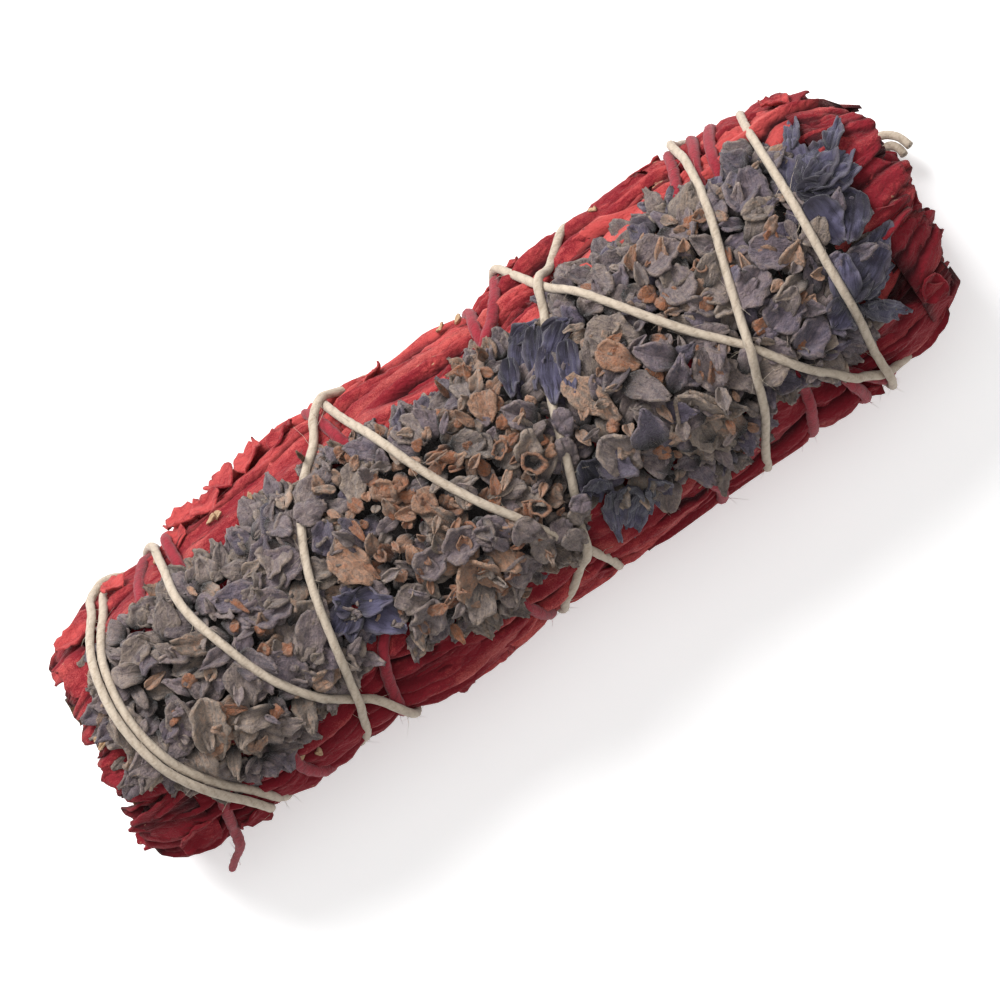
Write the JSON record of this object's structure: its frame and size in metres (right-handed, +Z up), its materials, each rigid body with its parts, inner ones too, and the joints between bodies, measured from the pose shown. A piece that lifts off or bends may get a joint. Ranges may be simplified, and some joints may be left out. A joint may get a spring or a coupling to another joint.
{
  "type": "sage smudge stick",
  "caption": "Bundle of dyed sage leaves tied lengthwise with red and white cotton cord, dried flower heads and blue petals along its top.",
  "frame": {"origin": "middle of the stick's outline on the surface that it lies on", "axes": "+X along the stick towards its leaf tips, +Y across it, +Z up through the flower heads"},
  "size_m": [0.1042, 0.0374, 0.0334],
  "materials": {
    "dyed_leaves": "matt dried leaf, dyed red, fine wrinkles and soft hairs",
    "stems": "dry woody stem",
    "red_cord": "twisted cotton, dyed crimson",
    "flower_bracts": "matt woolly grey-mauve bracts with tan edges",
    "petals": "thin dry blue petals",
    "white_cord": "twisted undyed cotton"
  },
  "bodies": {
    "root": {"sage_leaves_1": "dyed_leaves", "sage_leaves_2": "dyed_leaves", "sage_leaves_3": "dyed_leaves", "sage_leaves_4": "dyed_leaves", "sage_leaves_5": "dyed_leaves", "sage_leaves_6": "dyed_leaves", "sage_stem_1": "stems", "sage_stem_2": "stems", "sage_stem_3": "stems", "sage_stem_4": "stems", "sage_stem_5": "stems", "sage_stem_6": "stems", "red_tie_cord": "red_cord", "flower_head_1": "flower_bracts", "flower_head_2": "flower_bracts", "flower_head_3": "flower_bracts", "blue_floret_1": "petals", "blue_floret_2": "petals", "blue_floret_3": "petals", "blue_floret_4": "petals", "blue_floret_5": "petals", "white_tie_cord": "white_cord"}
  },
  "joints": []
}
